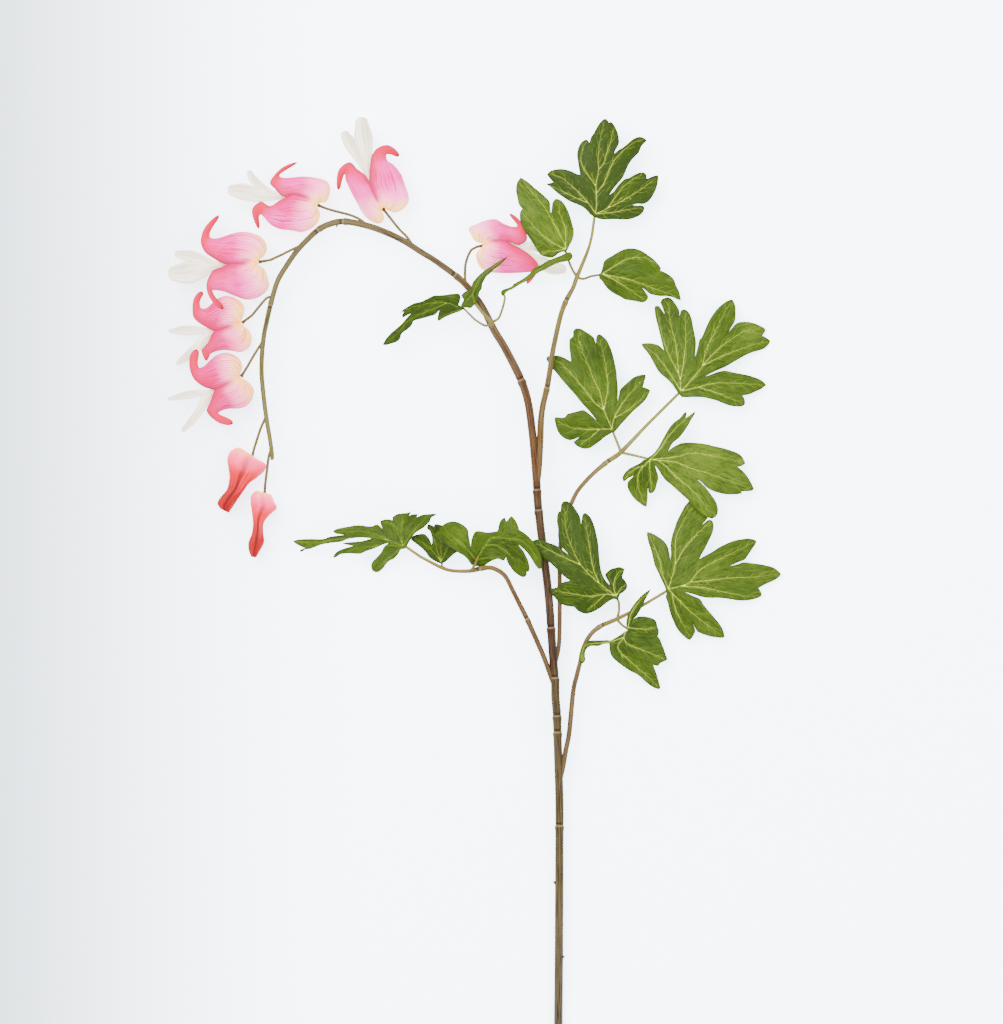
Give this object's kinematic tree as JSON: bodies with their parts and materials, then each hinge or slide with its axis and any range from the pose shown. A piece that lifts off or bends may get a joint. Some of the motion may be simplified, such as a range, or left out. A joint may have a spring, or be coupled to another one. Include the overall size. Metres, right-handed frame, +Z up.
{
  "type": "bleeding heart plant stem",
  "caption": "Cut flowering stem of a bleeding heart lying on its side, with an arching stalk of heart-shaped flowers, hanging buds and divided, lobed leaves.",
  "frame": {"origin": "bottom centre of the bounding box, on the surface the stem lies on", "axes": "+Y from the cut end of the stem toward the top of the spray, +Z up from the surface, +X toward the leafy side"},
  "size_m": [0.368, 0.5971, 0.029],
  "materials": {
    "stem": "smooth fresh stem, brown-olive, satin",
    "stalk": "smooth fresh leaf stalk, reddish olive, satin",
    "leaf": "matte leaf with pale veins",
    "outer_petal": "soft satin petal, cream to pink to coral",
    "inner_petal": "translucent white petal, satin",
    "bud": "soft satin bud, peach to red"
  },
  "bodies": {
    "root": {"stem": "stem", "stalk_top": "stalk", "stalk_middle": "stalk", "stalk_lower": "stalk", "stalk_left": "stalk", "stalk_arch": "stalk", "leaf_top_end": "leaf", "leaf_top_left": "leaf", "leaf_top_right": "leaf", "leaf_middle_end": "leaf", "leaf_middle_left": "leaf", "leaf_middle_low": "leaf", "leaf_lower_end": "leaf", "leaf_lower_left": "leaf", "leaf_lower_right": "leaf", "leaf_arch_end": "leaf", "leaf_arch_left": "leaf", "leaf_arch_right": "leaf", "leaf_far_left": "leaf", "leaf_left_dark": "leaf", "leaf_left_fold": "leaf", "flower_1_petals": "outer_petal", "flower_1_inner": "inner_petal", "flower_2_petals": "outer_petal", "flower_2_inner": "inner_petal", "flower_3_petals": "outer_petal", "flower_3_inner": "inner_petal", "flower_4_petals": "outer_petal", "flower_4_inner": "inner_petal", "flower_5_petals": "outer_petal", "flower_5_inner": "inner_petal", "flower_6_petals": "outer_petal", "flower_6_inner": "inner_petal", "bud_1": "bud", "bud_2": "bud"}
  },
  "joints": []
}
